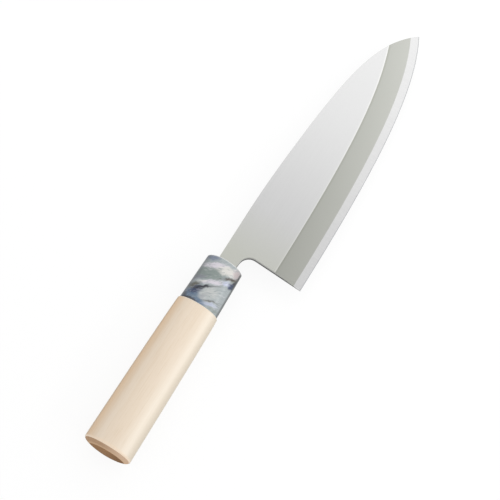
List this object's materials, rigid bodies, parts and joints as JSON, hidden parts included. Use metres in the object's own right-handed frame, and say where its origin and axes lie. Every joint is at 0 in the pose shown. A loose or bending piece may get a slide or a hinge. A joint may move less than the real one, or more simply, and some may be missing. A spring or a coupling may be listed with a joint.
{
  "type": "deba knife",
  "caption": "Deba kitchen knife: deep thick blade ground on its front only, hollow-ground back, pointed tip, marbled oval ferrule and pale wooden oval handle.",
  "frame": {"origin": "middle of the knife's length and width, at the height of the handle's lowest line", "axes": "+X along the handle's axis to the blade's tip, +Y to the spine, +Z out of the blade's ground front face"},
  "size_m": [0.305, 0.0586, 0.0224],
  "materials": {
    "blade_cladding": "satin",
    "edge_steel": "fine ground",
    "ferrule": "polished, marbled",
    "handle": "sanded, bare",
    "tang_resin": "as cast"
  },
  "bodies": {
    "root": {"blade_cladding": "blade_cladding", "edge_steel": "edge_steel", "ferrule": "ferrule", "handle": "handle", "tang_resin": "tang_resin"}
  },
  "joints": []
}
